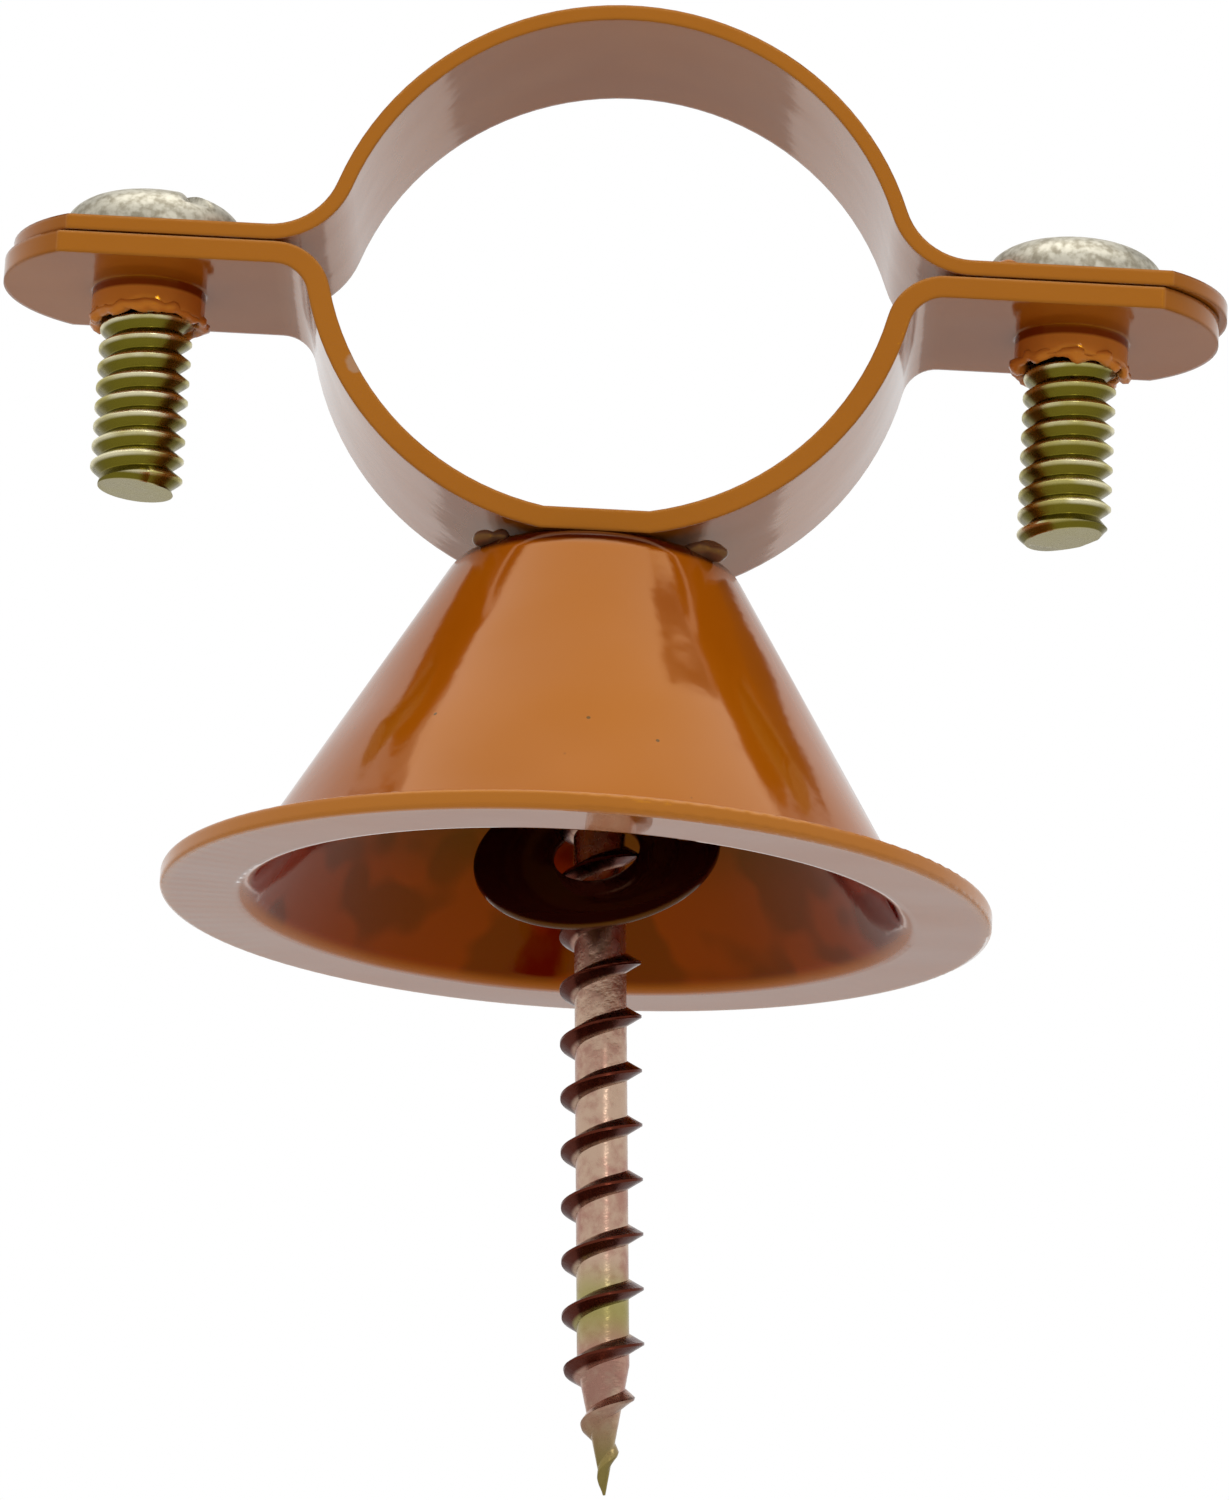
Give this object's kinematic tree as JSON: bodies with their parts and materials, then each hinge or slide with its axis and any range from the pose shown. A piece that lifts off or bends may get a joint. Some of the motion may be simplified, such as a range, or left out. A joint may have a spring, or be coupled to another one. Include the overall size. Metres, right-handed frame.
{
  "type": "bell hanger",
  "caption": "Split-ring pipe hanger on a flared bell base, with two clamp screws and a coarse wood screw through the bell",
  "frame": {"origin": "centre of the bell's flange in the plane of the wall", "axes": "+Z out of the wall towards the clamp, X along the clamp's ears, Y along the pipe"},
  "size_m": [0.0636, 0.0424, 0.0769],
  "materials": {
    "copper_paint": "glossy copper-coloured epoxy paint",
    "zinc_plate": "zinc plate, a little yellow in the threads"
  },
  "bodies": {
    "hanger_base": {"bell": "copper_paint", "lower_strap": "copper_paint"},
    "clamp_top": {"upper_strap": "copper_paint"},
    "left_screw": {"machine_screw_left": "zinc_plate"},
    "right_screw": {"machine_screw_right": "zinc_plate"},
    "wall_fixing": {"wood_screw": "zinc_plate", "retaining_washer": "copper_paint"}
  },
  "joints": [
    {"name": "clamp_opening", "type": "slide", "parent": "hanger_base", "child": "clamp_top", "axis": [0, 0, 1], "range_m": [0, 0.009]},
    {"name": "left_screw_turn", "type": "hinge", "parent": "clamp_top", "child": "left_screw", "pos_m": [-0.024, 0, 0.034], "axis": [0, 0, 1], "continuous": true},
    {"name": "right_screw_turn", "type": "hinge", "parent": "clamp_top", "child": "right_screw", "pos_m": [0.024, 0, 0.034], "axis": [0, 0, 1], "continuous": true},
    {"name": "wood_screw_turn", "type": "hinge", "parent": "hanger_base", "child": "wall_fixing", "pos_m": [0, 0, 0.0198], "axis": [0.0628, 0, -0.998], "continuous": true}
  ],
  "couplings": [
    {"joint": "left_screw_turn", "follows": "clamp_opening", "rad_per_m": 5938},
    {"joint": "right_screw_turn", "follows": "clamp_opening", "rad_per_m": 5938}
  ]
}
